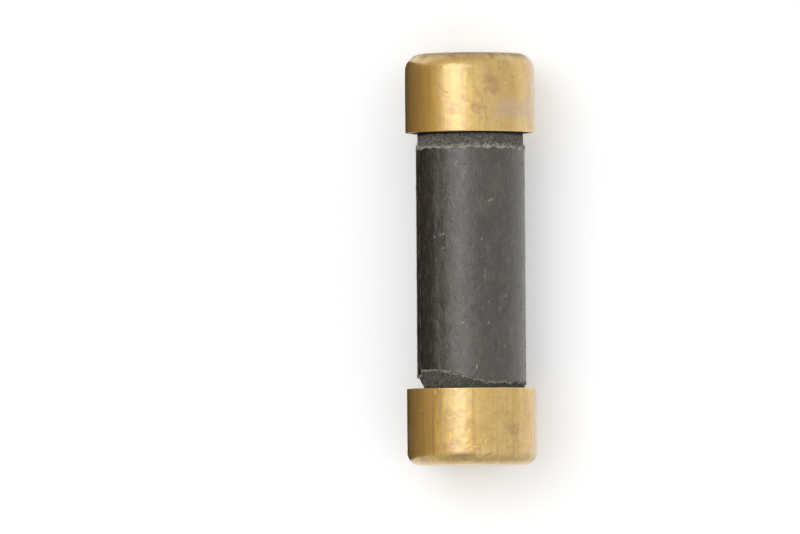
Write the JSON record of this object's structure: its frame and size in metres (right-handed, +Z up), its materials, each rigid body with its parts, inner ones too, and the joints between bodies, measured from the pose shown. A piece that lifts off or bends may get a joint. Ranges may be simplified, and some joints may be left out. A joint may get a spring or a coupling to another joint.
{
  "type": "cartridge fuse",
  "caption": "Ferrule cartridge fuse: brass cups cemented on a fibre tube with a wrapped sleeve, round a soldered strip in sand.",
  "frame": {"origin": "the middle of the fuse, on its axis", "axes": "+Y along the fuse's axis towards its upper end, +Z up from the table the fuse lies on and towards the viewer, +X to the viewer's right"},
  "size_m": [0.0104, 0.0326, 0.0104],
  "materials": {
    "upper_cap_brass": "worn satin brass with fine lengthwise draw lines and brown tarnish",
    "lower_cap_brass": "worn satin brass with fine lengthwise draw lines and brown tarnish",
    "sleeve_fibre": "smooth dark grey pressed fibre sheet with a soft sheen and small nicks",
    "tube_fibre": "matt grey vulcanised fibre with a granular, flecked surface",
    "link_metal": "thin punched strip, tinned",
    "bead_alloy": "dull tin alloy",
    "quartz_sand": "compacted quartz sand",
    "disc_fibre": "matt brown fibre sheet",
    "solder": "dull solder",
    "cement": "dark brown hardened cement"
  },
  "bodies": {
    "root": {"upper_end_cap": "upper_cap_brass", "lower_end_cap": "lower_cap_brass", "outer_sleeve": "sleeve_fibre", "fibre_tube": "tube_fibre", "fuse_link": "link_metal", "alloy_bead": "bead_alloy", "sand_filler": "quartz_sand", "upper_slotted_disc": "disc_fibre", "lower_slotted_disc": "disc_fibre", "upper_solder_joint": "solder", "lower_solder_joint": "solder", "upper_cement_ring": "cement", "lower_cement_ring": "cement"}
  },
  "joints": []
}
